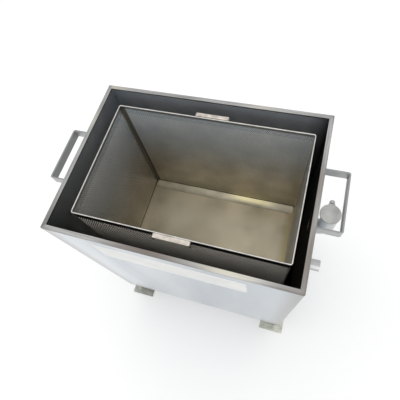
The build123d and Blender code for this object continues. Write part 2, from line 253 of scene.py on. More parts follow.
def cold_rolled_stainless(low, high):
    """Stainless sheet of the tank, cold-rolled and bright annealed.

    Outside it is a soft blue-white mirror with slow waves and faint upright bands from the rolls, greyer
    along the upright corners, where the welds were dressed. Inside, steam and lime have left a dull grey
    film, thickest at the rear, with a painted pale blue reflection of the sky below the rim there. The
    insides of the front and right-hand walls are painted near-black, matt and without metal, as shade,
    and the painted shade fades onto the right end of the rear wall.
    """
    material, tree = new_material("cold-rolled stainless sheet")
    coords = add(tree, "TexCoord")
    point = coords.outputs["Object"]
    centre = (low + high) / 2
    inside = faces_inwards(tree, coords, centre)
    place = add(tree, "SeparateXYZ", {0: point})

    upright = add(tree, "Mapping", {"Vector": point, "Scale": (per_mm(120), per_mm(120), per_mm(900))})
    band = add(tree, "TexNoise", {"Vector": upright, "Scale": 1.0, "Detail": 3.0})
    bright = add(tree, "ValToRGB", {"Fac": band}, stops=((0.35, "#C6CDD3"), (0.65, "#AFB8C0")))
    polish = add(
        tree,
        "MapRange",
        {"Value": band, "From Min": 0.3, "From Max": 0.7, "To Min": 0.12, "To Max": 0.2},
    )

    dressed = 1.0
    for axis, middle, end in (("X", centre.x, high.x), ("Y", centre.y, high.y)):
        from_middle = distance_from(tree, place.outputs[axis], middle)
        half = end - middle
        near_end = add(
            tree,
            "MapRange",
            {"Value": from_middle, "From Min": half - 55 * MM, "From Max": half - 5 * MM},
            interpolation_type="SMOOTHSTEP",
        )
        dressed = add(tree, "Math", {0: near_end, 1: dressed}, operation="MULTIPLY")
    outside = add(tree, "Mix", {0: dressed, 6: bright, 7: hex_colour("#8F908F")}, data_type="RGBA")

    film = add(tree, "TexNoise", {"Vector": point, "Scale": per_mm(70), "Detail": 5.0})
    dull = add(tree, "ValToRGB", {"Fac": film}, stops=((0.3, "#B0B5BB"), (0.7, "#9BA0A6")))
    # Painted shade on the inside of the front and right-hand walls, fading in along the right end of the
    # rear wall
    at_right = add(
        tree,
        "MapRange",
        {"Value": place.outputs["X"], "From Min": high.x - 60 * MM, "From Max": high.x - WALL_ZONE},
    )
    at_front = add(tree, "Math", {0: place.outputs["Y"], 1: low.y + WALL_ZONE}, operation="LESS_THAN")
    smoked = add(tree, "Math", {0: at_right, 1: at_front}, operation="MAXIMUM")
    # Painted reflection of the sky: pale blue on the top of the inside rear wall, below the rim
    heat = add(
        tree,
        "MapRange",
        {
            "Value": place.outputs["Z"],
            "From Min": high.z - 55 * MM,
            "From Max": high.z - 8 * MM,
            "To Max": 0.32,
        },
        interpolation_type="SMOOTHSTEP",
    )
    at_rear = add(tree, "Math", {0: place.outputs["Y"], 1: high.y - WALL_ZONE}, operation="GREATER_THAN")
    heat = add(tree, "Math", {0: heat, 1: at_rear}, operation="MULTIPLY")
    tinted = add(tree, "Mix", {0: heat, 6: dull, 7: hex_colour("#D6E2F0")}, data_type="RGBA")
    # Painted shade: the shaded walls are near-black, and below they are also made matt and without metal
    filmed = add(tree, "Mix", {0: smoked, 6: tinted, 7: hex_colour("#151412")}, data_type="RGBA")
    bare = add(
        tree,
        "MapRange",
        {
            "Value": place.outputs["Y"],
            "From Min": low.y,
            "From Max": high.y,
            "To Min": 1.0,
            "To Max": 0.55,
        },
    )
    bare = add(tree, "Mix", {0: smoked, 2: bare, 3: 0.0})
    matt = add(
        tree,
        "MapRange",
        {"Value": film, "From Min": 0.3, "From Max": 0.7, "To Min": 0.34, "To Max": 0.44},
    )
    matt = add(tree, "Mix", {0: smoked, 2: matt, 3: 0.75})

    colour = add(tree, "Mix", {0: inside, 6: outside, 7: filmed}, data_type="RGBA")
    roughness = add(tree, "Mix", {0: inside, 2: polish, 3: matt})
    metallic = add(tree, "Mix", {0: inside, 2: 1.0, 3: bare})
    wave = add(tree, "TexNoise", {"Vector": point, "Scale": per_mm(240), "Detail": 1.0})
    normal = add(tree, "Bump", {"Height": wave, "Distance": 1.0 * MM})
    shade_metal(tree, colour, roughness, normal, metallic)
    return material


def ground_flat_bar(side, along, centre, half_length, tinted_places):
    """Stainless flat bar of the rim, ground along its length with a belt.

    It shows grey streaks, dark tint at the mitres, and heat tint in patches where it was welded to the
    wall: straw where it grew warm, brown where it grew hot and grey where it grew hottest.
    The belt's scratches are drawn about 1 mm wide, coarser than they are, so that they show.
    """
    material, tree = new_material(f"ground flat bar, {side}")
    point = add(tree, "TexCoord").outputs["Object"]
    scale = [per_mm(1.4)] * 3
    scale["XYZ".index(along)] = per_mm(70)
    lengthwise = add(tree, "Mapping", {"Vector": point, "Scale": scale})
    scratch = add(tree, "TexNoise", {"Vector": lengthwise, "Scale": 1.0, "Detail": 4.0})
    colour = add(tree, "ValToRGB", {"Fac": scratch}, stops=((0.28, "#A3A3A2"), (0.72, "#6D6D6C")))
    offset = add(tree, "VectorMath", {0: point, 1: centre}, operation="SUBTRACT")
    place = add(tree, "SeparateXYZ", {0: offset})
    mitre = (14 * MM, 0.35, BROWN_TINT)
    ends = ((-half_length, *mitre), (half_length, *mitre))
    for middle, reach, share, tint in (*tinted_places, *ends):
        distance = distance_from(tree, place.outputs[along], middle)
        heat = add(
            tree,
            "MapRange",
            {"Value": distance, "From Min": reach, "From Max": 0.0, "To Max": share},
            interpolation_type="SMOOTHSTEP",
        )
        colour = add(tree, "Mix", {0: heat, 6: colour, 7: hex_colour(tint)}, data_type="RGBA")
    finish_metal(tree, colour, scratch, (0.24, 0.42), 0.03 * MM)
    return material


def satin_strap():
    """Stainless strap of the side handles: brushed along the grip to a grey satin, sheared edges dull.

    The face of the grip that looks to the tank is painted darker, as shade.
    The brush lines are drawn about 1 mm wide, coarser than they are, so that they show.
    """
    material, tree = new_material("satin stainless strap")
    coords = add(tree, "TexCoord")
    point = coords.outputs["Object"]
    lengthwise = add(tree, "Mapping", {"Vector": point, "Scale": (per_mm(1), per_mm(45), per_mm(1))})
    brush = add(tree, "TexNoise", {"Vector": lengthwise, "Scale": 1.0, "Detail": 4.0})
    cloud = add(tree, "TexNoise", {"Vector": point, "Scale": per_mm(30), "Detail": 3.0})
    brushed = add(tree, "ValToRGB", {"Fac": cloud}, stops=((0.3, "#C6C7C6"), (0.7, "#B4B5B4")))
    place = add(tree, "SeparateXYZ", {0: point})
    facing = add(tree, "SeparateXYZ", {0: coords.outputs["Normal"]})
    # Painted shade: the face of the grip that looks to the tank is darker
    away = add(tree, "Math", {0: place.outputs["X"], 1: facing.outputs["X"]}, operation="MULTIPLY")
    rolled = add(tree, "Math", {0: away, 1: -100 * MM}, operation="LESS_THAN")
    face = add(tree, "Mix", {0: rolled, 6: brushed, 7: hex_colour("#A6A29D")}, data_type="RGBA")
    sheared = add(tree, "Math", {0: facing.outputs["Z"], 1: 0.7}, operation="GREATER_THAN")
    colour = add(tree, "Mix", {0: sheared, 6: face, 7: hex_colour("#868787")}, data_type="RGBA")
    finish_metal(tree, colour, brush, (0.38, 0.5), 0.01 * MM, 0.6)
    return material


def satin_tube():
    """Drawn stainless tube of the filler, rubbed to a satin: grey, with soft light along its curve."""
    return clouded_metal(
        "satin drawn tube",
        cloud_mm=18,
        shades=("#D4D5D5", "#C4C5C5"),
        sheen=(0.36, 0.46),
        relief=0.02 * MM,
        metallic=0.4,
    )


def limed_tube():
    """Drawn stainless tube of the outlet: dull grey, with one painted highlight along its front."""
    material, tree = new_material("drawn tube with painted highlight")
    point = add(tree, "TexCoord").outputs["Object"]
    cloud = add(tree, "TexNoise", {"Vector": point, "Scale": per_mm(18), "Detail": 3.0})
    # Painted highlight: these light shades lie in a stripe along the front of the tube
    rubbed = add(tree, "ValToRGB", {"Fac": cloud}, stops=((0.3, "#F8F9F9"), (0.7, "#ECEDED")))
    place = add(tree, "SeparateXYZ", {0: point})
    stripe = -13 * MM  # towards the front from the middle of the tube
    from_stripe = distance_from(tree, place.outputs["Y"], stripe)
    # Away from the painted highlight the tube has its own dull grey
    lime = add(
        tree,
        "MapRange",
        {"Value": from_stripe, "From Min": 1 * MM, "From Max": 9 * MM},
        interpolation_type="SMOOTHSTEP",
    )
    colour = add(tree, "Mix", {0: lime, 6: rubbed, 7: hex_colour("#B0B1B1")}, data_type="RGBA")
    finish_metal(tree, colour, cloud, (0.36, 0.46), 0.02 * MM, 0.4)
    return material


def satin_disc():
    """Stainless plate of the filler lid and its pivot, rubbed with fine grit to a matt satin.

    The rub marks are drawn about 1 mm wide, coarser than they are, so that they show.
    """
    material, tree = new_material("satin stainless disc")
    point = add(tree, "TexCoord").outputs["Object"]
    crosswise = add(tree, "Mapping", {"Vector": point, "Scale": (per_mm(18), per_mm(1), per_mm(1))})
    rub = add(tree, "TexNoise", {"Vector": crosswise, "Scale": 1.0, "Detail": 4.0})
    cloud = add(tree, "TexNoise", {"Vector": point, "Scale": per_mm(22), "Detail": 3.0})
    colour = add(tree, "ValToRGB", {"Fac": cloud}, stops=((0.3, "#A2A2A0"), (0.7, "#949492")))
    finish_metal(tree, colour, rub, (0.32, 0.46), 0.015 * MM)
    return material


def pickled_plate(shade, light, dark):
    """Hot-rolled stainless plate and tube of the feet, pickled: a dull grey with a green cast."""
    # A paler copy of this finish is painted light, for the plate where light falls
    return clouded_metal(
        f"pickled hot-rolled plate, {shade}",
        cloud_mm=26,
        detail=4.0,
        shades=(light, dark),
        sheen=(0.34, 0.46),
        relief=0.08 * MM,
        metallic=0.6,
    )


def waxed_perforated_sheet(low, high):
    """Stainless perforated sheet of the basket, rolled bright and punched, filmed by melting comb.

    Inside it is a soft mirror that carries the floor's colour up the walls: clean and blue-grey near the
    rim, olive lower down where wax and propolis film it in upright runs, with a dark line at the floor.
    Wax stands thicker and paler at the foot of the rear sheet. Painted shade darkens both end walls and
    the rear left corner, and a painted shadow of the rim wire lies in a line below it. Outside, the sheet
    is painted dark as shade, a dark mirror, with the painted shadow of the rim wire black below the rim.
    """
    material, tree = new_material("waxed perforated sheet")
    coords = add(tree, "TexCoord")
    point = coords.outputs["Object"]
    inside = faces_inwards(tree, coords, (low + high) / 2)
    place = add(tree, "SeparateXYZ", {0: point})
    depth = add(tree, "MapRange", {"Value": place.outputs["Z"], "From Min": high.z, "From Max": low.z})
    upright = add(tree, "Mapping", {"Vector": point, "Scale": (per_mm(40), per_mm(40), per_mm(220))})
    run = add(tree, "TexNoise", {"Vector": upright, "Scale": 1.0, "Detail": 3.0})
    reached = add(tree, "Math", {0: run, 1: 0.3, 2: depth}, operation="MULTIPLY_ADD")
    film = add(
        tree,
        "MapRange",
        {"Value": reached, "From Min": 0.35, "From Max": 0.95},
        interpolation_type="SMOOTHSTEP",
    )
    blot = add(tree, "TexNoise", {"Vector": point, "Scale": per_mm(60), "Detail": 4.0})
    steel = add(tree, "ValToRGB", {"Fac": blot}, stops=((0.3, "#DBE3E9"), (0.7, "#CAD3D9")))
    stain = add(tree, "ValToRGB", {"Fac": blot}, stops=((0.3, "#DCD3C1"), (0.7, "#C7BEAB")))
    filmed = add(tree, "Mix", {0: film, 6: steel, 7: stain}, data_type="RGBA")
    skin = add(
        tree,
        "MapRange",
        {"Value": place.outputs["Z"], "From Min": low.z + 100 * MM, "From Max": low.z + 30 * MM},
        interpolation_type="SMOOTHSTEP",
    )
    rear = add(tree, "Math", {0: place.outputs["Y"], 1: high.y - 10 * MM}, operation="GREATER_THAN")
    skin = add(tree, "Math", {0: skin, 1: rear}, operation="MULTIPLY")
    skinned = add(tree, "Mix", {0: skin, 6: filmed, 7: hex_colour("#F4EBD6")}, data_type="RGBA")

    # Painted shade: the left end of the rear sheet, at the rear left corner, is darker
    strip_edge = low.x + BASKET_BEND + PLAIN_BEND
    strip = add(
        tree,
        "MapRange",
        {"Value": place.outputs["X"], "From Min": strip_edge + 2 * MM, "From Max": strip_edge - 3 * MM},
    )
    corner = add(tree, "Math", {0: strip, 1: rear}, operation="MULTIPLY")
    browned = add(tree, "Mix", {0: corner, 6: skinned, 7: hex_colour("#6E6A60")}, data_type="RGBA")
    # Painted shade: the left end wall darker towards the front, the right end wall darker above its foot
    end_walls = (
        (low.x, low.x + WALL_ZONE, "Y", high.y, low.y, 0.4, 0.92, "#6E6862"),
        (high.x, high.x - WALL_ZONE, "Z", low.z, low.z + 120 * MM, 0.5, 0.95, "#4E4232"),
    )
    for wall, nearer, axis, start, end, start_share, end_share, tone in end_walls:
        share = add(
            tree,
            "MapRange",
            {
                "Value": place.outputs[axis],
                "From Min": start,
                "From Max": end,
                "To Min": start_share,
                "To Max": end_share,
            },
        )
        end_wall = add(
            tree,
            "MapRange",
            {"Value": place.outputs["X"], "From Min": nearer, "From Max": wall, "To Max": share},
        )
        browned = add(tree, "Mix", {0: end_wall, 6: browned, 7: hex_colour(tone)}, data_type="RGBA")
    # Painted shadow of the rim wire: a dark line below it, inside
    below_rim = add(
        tree,
        "MapRange",
        {
            "Value": place.outputs["Z"],
            "From Min": high.z - PLAIN_TOP - 3 * MM,
            "From Max": high.z - PLAIN_TOP + 1 * MM,
            "To Max": 0.8,
        },
    )
    rimmed = add(tree, "Mix", {0: below_rim, 6: browned, 7: hex_colour("#4C4C48")}, data_type="RGBA")

    settled = add(
        tree,
        "MapRange",
        {"Value": place.outputs["Z"], "From Min": low.z + 12 * MM, "From Max": low.z + 6 * MM},
        interpolation_type="SMOOTHSTEP",
    )
    inner = add(tree, "Mix", {0: settled, 6: rimmed, 7: hex_colour("#4A4234")}, data_type="RGBA")
    # Painted shade: the outside of the sheet is dark, and the rim wire's painted shadow is black below it
    outer = add(tree, "ValToRGB", {"Fac": blot}, stops=((0.3, "#46443F"), (0.7, "#383632")))
    eaves = add(
        tree,
        "MapRange",
        {"Value": place.outputs["Z"], "From Min": high.z - EAVES - 3 * MM, "From Max": high.z - EAVES},
    )
    shaded = add(tree, "Mix", {0: eaves, 6: outer, 7: hex_colour("#161513")}, data_type="RGBA")
    colour = add(tree, "Mix", {0: inside, 6: shaded, 7: inner}, data_type="RGBA")
    matt = add(
        tree,
        "MapRange",
        {"Value": blot, "From Min": 0.3, "From Max": 0.7, "To Min": 0.34, "To Max": 0.44},
    )
    roughness = add(tree, "Mix", {0: inside, 2: 0.28, 3: matt})
    scattered = add(tree, "MapRange", {"Value": depth, "From Max": 0.7, "To Min": 0.42, "To Max": 0.95})
    metallic = add(tree, "Mix", {0: inside, 2: 1.0, 3: scattered})
    normal = add(tree, "Bump", {"Height": run, "Distance": 0.01 * MM})
    shade_metal(tree, colour, roughness, normal, metallic)
    return material


def punched_edge(low, high):
    """Cut edge of the perforated sheet, left by the punch: bare bright steel, half sheared and half torn.

    In the strip below the rim wire the edges carry the rim wire's painted shadow too. On the front sheet
    they are painted brightest on the right, as light, and painted shade dulls them lower down, most of
    all on the left. On the right sheet painted shade dulls them from a little above the foot upwards.
    """
    material, tree = new_material("punched edge")
    point = add(tree, "TexCoord").outputs["Object"]
    tear = add(tree, "TexNoise", {"Vector": point, "Scale": per_mm(3), "Detail": 3.0})
    bare = add(tree, "ValToRGB", {"Fac": tear}, stops=((0.3, "#DAD4CA"), (0.7, "#C0BAB0")))
    place = add(tree, "SeparateXYZ", {0: point})
    # Painted light and shade on the front sheet: edges lighter to the right, darker lower down, most on
    # the left
    at_front = add(tree, "Math", {0: place.outputs["Y"], 1: low.y + WALL_ZONE}, operation="LESS_THAN")
    rightwards = add(
        tree,
        "MapRange",
        {"Value": place.outputs["X"], "From Min": low.x, "From Max": high.x, "To Max": at_front},
    )
    clean = add(tree, "Mix", {0: rightwards, 6: bare, 7: hex_colour("#E4DFD7")}, data_type="RGBA")
    thickness = add(tree, "MapRange", {"Value": rightwards, "To Min": at_front, "To Max": 0.45})
    downwards = add(
        tree,
        "MapRange",
        {
            "Value": place.outputs["Z"],
            "From Min": high.z - 60 * MM,
            "From Max": high.z - 215 * MM,
            "To Max": thickness,
        },
    )
    # Painted shadow of the rim wire on the edges in the strip below it
    below_rim = add(tree, "Math", {0: place.outputs["Z"], 1: high.z - EAVES}, operation="GREATER_THAN")
    soot = add(tree, "Math", {0: below_rim, 1: downwards}, operation="MAXIMUM")
    # Painted shade on the right sheet, from a little above the foot upwards
    at_right = add(tree, "Math", {0: place.outputs["X"], 1: high.x - WALL_ZONE}, operation="GREATER_THAN")
    upwards = add(
        tree,
        "MapRange",
        {
            "Value": place.outputs["Z"],
            "From Min": low.z + 50 * MM,
            "From Max": low.z + 170 * MM,
            "To Max": 0.5,
        },
    )
    upwards = add(tree, "Math", {0: upwards, 1: at_right}, operation="MULTIPLY")
    soot = add(tree, "Math", {0: soot, 1: upwards}, operation="MAXIMUM")
    colour = add(tree, "Mix", {0: soot, 6: clean, 7: hex_colour("#2A2825")}, data_type="RGBA")
    finish_metal(tree, colour, tear, (0.34, 0.5), 0.05 * MM, 0.9)
    return material


def waxed_floor_sheet(low, high):
    """Floor sheet of the basket: rolled stainless under a beige skin of wax, matt, with soft smudges.

    Left of the middle it is worn duller. Along the right-hand wall the wax is thicker and olive.
    """
    material, tree = new_material("waxed floor sheet")
    point = add(tree, "TexCoord").outputs["Object"]
    patch = add(tree, "TexNoise", {"Vector": point, "Scale": per_mm(130), "Detail": 3.0})
    skin = add(tree, "ValToRGB", {"Fac": patch}, stops=((0.3, "#D5CAB2"), (0.7, "#C2B7A0")))
    centre = (low + high) / 2
    drift = add(tree, "TexNoise", {"Vector": point, "Scale": per_mm(45), "Detail": 4.0})
    for x, y, reach, share in FLOOR_SMUDGES:
        middle = (centre.x + x, centre.y + y, high.z)
        distance = add(tree, "VectorMath", {0: point, 1: middle}, operation="DISTANCE")
        ragged = add(
            tree,
            "Math",
            {0: drift, 1: RAGGED_EDGE, 2: distance.outputs["Value"]},
            operation="MULTIPLY_ADD",
        )
        amount = add(
            tree,
            "MapRange",
            {"Value": ragged, "From Min": reach + RAGGED_EDGE / 2, "From Max": 0.0, "To Max": share},
            interpolation_type="SMOOTHSTEP",
        )
        skin = add(tree, "Mix", {0: amount, 6: skin, 7: hex_colour("#827A64")}, data_type="RGBA")
    worn_place = centre + Vector((-30 * MM, -30 * MM, 0))
    from_worn = add(tree, "VectorMath", {0: point, 1: worn_place}, operation="DISTANCE")
    wear = add(
        tree,
        "MapRange",
        {
            "Value": from_worn.outputs["Value"],
            "From Min": 200 * MM,
            "From Max": 30 * MM,
            "To Max": 0.62,
        },
        interpolation_type="SMOOTHSTEP",
    )
    worn = add(tree, "Mix", {0: wear, 6: skin, 7: hex_colour("#8C8470")}, data_type="RGBA")
    place = add(tree, "SeparateXYZ", {0: point})
    edge = add(
        tree,
        "MapRange",
        {
            "Value": place.outputs["X"],
            "From Min": high.x - 32 * MM,
            "From Max": high.x - 8 * MM,
            "To Max": 0.7,
        },
    )
    colour = add(tree, "Mix", {0: edge, 6: worn, 7: hex_colour("#A3966C")}, data_type="RGBA")
    finish_metal(tree, colour, patch, (0.42, 0.5), 0.3 * MM, 0.85)
    return material


def waxed_flange(low, high):
    """Plain flange of the rear sheet: half-bright steel under a skin of wax.

    Right of the middle the crease along the wall is yellow with wax, and painted bright as a highlight.
    """
    material, tree = new_material("waxed flange")
    point = add(tree, "TexCoord").outputs["Object"]
    place = add(tree, "SeparateXYZ", {0: point})
    # Painted highlight: the yellow wax in the crease right of the middle is painted bright
    pool = low.x + 0.7 * (high.x - low.x)
    from_pool = distance_from(tree, place.outputs["X"], pool)
    patch = add(tree, "TexNoise", {"Vector": point, "Scale": per_mm(55), "Detail": 4.0})
    wax = add(
        tree,
        "MapRange",
        {"Value": from_pool, "From Min": 110 * MM, "From Max": 20 * MM},
        interpolation_type="SMOOTHSTEP",
    )
    crease = add(
        tree,
        "MapRange",
        {"Value": place.outputs["Y"], "From Min": high.y - 25 * MM, "From Max": high.y - 12 * MM},
    )
    wax = add(tree, "Math", {0: wax, 1: crease}, operation="MULTIPLY")
    steel = add(tree, "ValToRGB", {"Fac": patch}, stops=((0.3, "#B2AA96"), (0.7, "#938B76")))
    colour = add(tree, "Mix", {0: wax, 6: steel, 7: hex_colour("#EFE3B4")}, data_type="RGBA")
    finish_metal(tree, colour, patch, (0.3, 0.44), 0.4 * MM, 0.5)
    return material


def drawn_wire():
    """Drawn stainless wire of the basket's rim: half-bright grey, lighter along its top."""
    return clouded_metal(
        "drawn stainless wire",
        cloud_mm=14,
        shades=("#C4C2BD", "#A9A7A2"),
        sheen=(0.26, 0.4),
        relief=0.04 * MM,
    )


def scoured_strap():
    """Stainless strap of the basket's handles, scoured clean: warm and bright, dull in patches."""
    return clouded_metal(
        "scoured stainless strap",
        cloud_mm=14,
        shades=("#BBB4AC", "#9B948C"),
        sheen=(0.26, 0.4),
        relief=0.05 * MM,
    )


def browned_inside_steel():
    """Stainless of the wax tray and the bars below the basket: dull, browned by wax and steam."""
    return clouded_metal(
        "browned inside steel",
        cloud_mm=45,
        detail=4.0,
        shades=("#6F6A5E", "#565145"),
        sheen=(0.36, 0.5),
        relief=0.2 * MM,
        metallic=0.7,
    )


def heat_tinted_weld():
    """Stainless weld bead, left as laid: ripples under a dull straw and brown heat tint."""
    return clouded_metal(
        "heat-tinted weld bead",
        cloud_mm=9,
        shades=("#A39C90", "#7B7671"),
        sheen=(0.25, 0.4),
        relief=0.1 * MM,
    )


def white_vinyl_film():
    """White vinyl film, calendered and stuck down: even, with a faint sheen, waved with the sheet."""
    material, tree = new_material("white vinyl film")
    point = add(tree, "TexCoord").outputs["Object"]
    wave = add(tree, "TexNoise", {"Vector": point, "Scale": per_mm(80), "Detail": 2.0})
    colour = add(tree, "ValToRGB", {"Fac": wave}, stops=((0.35, "#F2F2F0"), (0.65, "#E6E7E5")))
    normal = add(tree, "Bump", {"Height": wave, "Distance": 0.2 * MM})
    surface = add(tree, "BsdfPrincipled", {"Base Color": colour, "Roughness": 0.4, "Normal": normal})
    add(tree, "OutputMaterial", {"Surface": surface})
    return material


def pale_studio_floor():
    """Matt white studio board; it shows white to the eye and to the metal, less the object's shadow."""
    material, tree = new_material("matt white board")
    board = add(tree, "BsdfDiffuse", {"Color": hex_colour("#E4E4E4")})
    glow = add(tree, "Math", {0: seen_directly(tree), 1: FLOOR_GLOW}, operation="MULTIPLY")
    white = add(tree, "Emission", {"Color": (1, 1, 1, 1), "Strength": glow})
    both = add(tree, "AddShader", {0: board, 1: white})
    add(tree, "OutputMaterial", {"Surface": both})
    return material


def new_piece(name, points, faces, material, body, smooth_angle=SMOOTH_ANGLE):
    """A mesh piece in the shared frame, on its body, with its finish."""
    mesh = bpy.data.meshes.new(name)
    mesh.from_pydata(points, [], faces)
    mesh.polygons.foreach_set("use_smooth", [True] * len(mesh.polygons))
    mesh.set_sharp_from_angle(angle=math.radians(smooth_angle))
    mesh.materials.append(material)
    mesh.update()
    piece = bpy.data.objects.new(name, mesh)
    bpy.context.scene.collection.objects.link(piece)
    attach(piece, body)
    return piece


def perforated_blank(width, height, margins, hole_radius, corner_radius=0.0, plain=()):
    """A flat blank with staggered holes: its points and its faces.

    The margins are the plain strips at the left, right, bottom and top; plain lists more of them, by x.
    Each hole has six sides that face its six neighbours, so bars and small triangles fill the rest.
    """
    left, right, bottom, top = margins
    row_step = HOLE_PITCH * math.sqrt(3) / 2
    columns = int((width - left - right) / HOLE_PITCH)
    rows = int((height - bottom - top) / row_step)
    rows -= 1 - rows % 2
    first_x = left + (width - left - right - (columns - 1) * HOLE_PITCH) / 2
    first_z = bottom + (height - bottom - top - (rows - 1) * row_step) / 2
    points = []
    faces = []
    cell = {}
    for row in range(rows):
        odd = row % 2
        for column in range(columns - odd):
            cell[row, column] = len(points)
            x = first_x + (column + odd / 2) * HOLE_PITCH
            z = first_z + row * row_step
            for turn in range(6):
                angle = math.radians(30 + 60 * turn)
                points.append((x + hole_radius * math.cos(angle), z + hole_radius * math.sin(angle)))
            if any(low < x < high for low, high in plain):
                faces.append(tuple(range(cell[row, column], len(points))))

    def corner(hole, degrees):
        """The corner of a hole in one direction."""
        return cell[hole] + (degrees % 360 - 30) // 60

    for here in cell:
        row, column = here
        odd = row % 2
        beside = (row, column + 1)
        upper_right = (row + 1, column + odd)
        upper_left = (row + 1, column + odd - 1)
        for there, start in ((beside, 330), (upper_right, 30), (upper_left, 90)):
            if there in cell:
                far_side = (corner(there, start - 120), corner(there, start - 180))
                faces.append((corner(here, start), *far_side, corner(here, start + 60)))
        if beside in cell and upper_right in cell:
            faces.append((corner(here, 30), corner(beside, 150), corner(upper_right, 270)))
        if upper_right in cell and upper_left in cell:
            faces.append((corner(here, 90), corner(upper_right, 210), corner(upper_left, 330)))

    # The outermost corners of the holes on each side, in order
    last_row = rows - 1
    last = columns - 1
    bottom_chain = [corner((0, c), d) for c in range(columns) for d in (210, 270, 330)]
    top_chain = [corner((last_row, c), d) for c in range(columns) for d in (150, 90, 30)]
    left_chain = []
    right_chain = []
    for row in range(rows):
        odd = row % 2
        for degrees, mirrored in ((270, 270), (210, 330), (150, 30), (90, 90)):
            if degrees in (90, 270) and odd:
                continue
            if (row == 0 and degrees == 270) or (row == last_row and degrees == 90):
                continue
            left_chain.append(corner((row, 0), degrees))
            right_chain.append(corner((row, last - odd), mirrored))

    def edge_points(chain, x=None, z=None):
        """Points on the outline, straight out from a chain of corners."""
        start = len(points)
        for index in chain:
            px, pz = points[index]
            points.append((px if x is None else x, pz if z is None else z))
        return list(range(start, len(points)))

    bottom_edge = edge_points(bottom_chain, z=0.0)
    top_edge = edge_points(top_chain, z=height)
    left_edge = edge_points(left_chain, x=0.0)
    right_edge = edge_points(right_chain, x=width)
    for chain, edge in ((bottom_chain, bottom_edge), (right_chain, right_edge)):
        for i in range(len(chain) - 1):
            faces.append((edge[i], edge[i + 1], chain[i + 1], chain[i]))
    for chain, edge in ((top_chain, top_edge), (left_chain, left_edge)):
        for i in range(len(chain) - 1):
            faces.append((chain[i], chain[i + 1], edge[i + 1], edge[i]))

    def corner_points(x_sign, z_sign):
        """The outline's corner, from its upright side to its level side."""
        x = 0.0 if x_sign < 0 else width
        z = 0.0 if z_sign < 0 else height
        if not corner_radius:
            points.append((x, z))
            return [len(points) - 1]
        start = len(points)
        for step in range(BEND_STEPS + 1):
            angle = math.pi / 2 * step / BEND_STEPS
            points.append(
                (
                    x - x_sign * corner_radius * (1 - math.cos(angle)),
                    z - z_sign * corner_radius * (1 - math.sin(angle)),
                )
            )
        return list(range(start, len(points)))

    lower_left = corner_points(-1, -1)
    lower_right = corner_points(1, -1)
    upper_left = corner_points(-1, 1)
    upper_right = corner_points(1, 1)
    faces.append((left_edge[0], *lower_left, bottom_edge[0], bottom_chain[0]))
    faces.append((bottom_edge[-1], *reversed(lower_right), right_edge[0], right_chain[0]))
    faces.append((right_edge[-1], *upper_right, top_edge[-1], top_chain[-1]))
    faces.append((top_edge[0], *reversed(upper_left), left_edge[-1], left_chain[-1]))
    return points, faces


def fold(x, depth, flat):
    """Where a point of the front blank goes in plan when both ends are bent back: along it and behind it.

    x is from the middle of the blank, and flat is the length between the bends.
    """
    beyond = abs(x) - flat / 2
    if beyond <= 0:
        return x, depth
    angle = min(beyond / BASKET_BEND, math.pi / 2)
    radius = BASKET_BEND - depth
    along = flat / 2 + radius * math.sin(angle)
    straight = max(beyond - BASKET_BEND * math.pi / 2, 0.0)
    return math.copysign(along, x), BASKET_BEND - radius * math.cos(angle) + straight


def sheet_piece(name, blank, place, materials):
    """A solid sheet in place of a plain one: the blank at both faces of the sheet, and the cut edges."""
    points, faces = blank
    count = len(points)
    solid_points = [place(x, z, 0.0) for x, z in points] + [place(x, z, SHEET) for x, z in points]
    solid_faces = list(faces)
    solid_faces.extend(tuple(index + count for index in reversed(face)) for face in faces)
    rolled = len(solid_faces)
    directed = {(face[i - 1], face[i]) for face in faces for i in range(len(face))}
    for start, end in sorted(directed):
        if (end, start) not in directed:
            solid_faces.append((end, start, start + count, end + count))
    surface, cut_edge = materials
    piece = new_piece(f"perforated_{name}", solid_points, solid_faces, surface, "basket")
    piece.data.materials.append(cut_edge)
    edges = len(solid_faces) - rolled
    piece.data.polygons.foreach_set("material_index", [0] * rolled + [1] * edges)
    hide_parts(f"basket_{name}")


def turned(middle, quarter_turns, x, y, z):
    """A point of a panel drawn at the front, turned about the basket's middle in quarter turns."""
    for _ in range(quarter_turns):
        x, y = -y, x
    return (middle.x + x, middle.y + y, z)


def sloping_flange(name, low, high, material):
    """A plain flange that slopes from a wall down to the basket floor, with its upper edges eased."""
    ease = 0.4 * SHEET
    outline = [(low.x, low.y), (high.x, low.y), (high.x, high.y), (low.x, high.y)]
    eased = [
        (low.x + ease, low.y + ease),
        (high.x - ease, low.y + ease),
        (high.x - ease, high.y - ease),
        (low.x + ease, high.y - ease),
    ]
    tops = [low.z + SHEET, low.z + SHEET, high.z, high.z]
    points = [(x, y, low.z) for x, y in outline]
    points += [(x, y, top - ease) for (x, y), top in zip(outline, tops)]
    points += [(x, y, top) for (x, y), top in zip(eased, tops)]
    faces = [(3, 2, 1, 0), (8, 9, 10, 11)]
    for level in (0, 4):
        for side in range(4):
            after = (side + 1) % 4
            faces.append((level + side, level + after, level + 4 + after, level + 4 + side))
    new_piece(name, points, faces, material, "basket")


